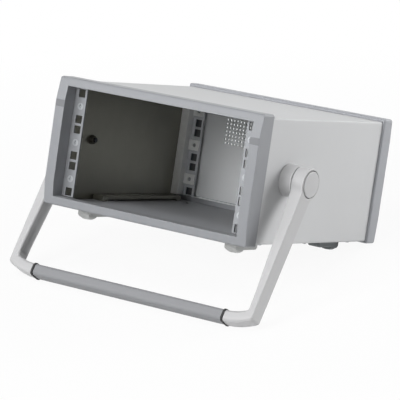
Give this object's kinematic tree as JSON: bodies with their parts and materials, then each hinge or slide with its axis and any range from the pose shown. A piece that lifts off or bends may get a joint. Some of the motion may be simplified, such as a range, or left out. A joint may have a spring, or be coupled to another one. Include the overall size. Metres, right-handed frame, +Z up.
{
  "type": "rack mount case",
  "caption": "Portable half-width rack case with cast bezels, square-hole rails, a folded sheet cover and a swinging handle that props it front-up",
  "frame": {"origin": "on the floor, under the middle of the overall box, with the case propped front-up on its handle and rear feet", "axes": "+X to the right seen from the front, +Y to the rear, +Z up"},
  "size_m": [0.358, 0.3662, 0.2385],
  "materials": {
    "bezel_paint": "satin window-grey paint on a casting",
    "rear_bezel_paint": "satin window-grey paint on a casting",
    "case_paint": "fine satin light-grey paint on sheet",
    "panel_paint": "satin grey paint",
    "zinc_plate": "bright zinc plate on steel sheet",
    "screw_steel": "bright zinc plate",
    "dark_steel": "black oxide steel",
    "foot_plastic": "moulded, fine grain",
    "arm_paint": "satin light-grey paint on a casting",
    "grip_plastic": "soft matte grip",
    "ring_rubber": "matte black",
    "button_plastic": "moulded, satin"
  },
  "bodies": {
    "case": {"front_bezel": "bezel_paint", "rear_bezel": "rear_bezel_paint", "cover": "case_paint", "base": "case_paint", "rear_panel": "panel_paint", "front_rail_left": "zinc_plate", "front_rail_right": "zinc_plate", "rear_rail_left": "zinc_plate", "rear_rail_right": "zinc_plate", "front_post_left": "zinc_plate", "front_post_right": "zinc_plate", "rear_post_left": "zinc_plate", "rear_post_right": "zinc_plate", "rail_screws": "screw_steel", "runner_left": "zinc_plate", "runner_right": "zinc_plate", "foot_front_left": "foot_plastic", "foot_front_right": "foot_plastic", "foot_rear_left": "foot_plastic", "foot_rear_right": "foot_plastic", "foot_screws": "dark_steel", "base_screws": "screw_steel", "panel_screws": "screw_steel", "boss_left": "arm_paint", "boss_right": "arm_paint", "stud_left": "dark_steel", "stud_right": "dark_steel", "pivot_nuts": "dark_steel", "keeper_screws": "dark_steel"},
    "handle": {"arm_left": "arm_paint", "arm_right": "arm_paint", "grip": "grip_plastic", "ring_left": "ring_rubber", "ring_right": "ring_rubber"},
    "left_button": {"button_left": "button_plastic"},
    "right_button": {"button_right": "button_plastic"}
  },
  "joints": [
    {"name": "handle_swing", "type": "hinge", "parent": "case", "child": "handle", "pos_m": [0, -0.04728, 0.14355], "axis": [1, 0, 0], "range_deg": [-214, 78]},
    {"name": "press_left", "type": "slide", "parent": "handle", "child": "left_button", "axis": [1, 0, 0], "range_m": [0, 0.003], "stiffness_N_per_m": 1500},
    {"name": "press_right", "type": "slide", "parent": "handle", "child": "right_button", "axis": [-1, 0, 0], "range_m": [0, 0.003], "stiffness_N_per_m": 1500}
  ]
}
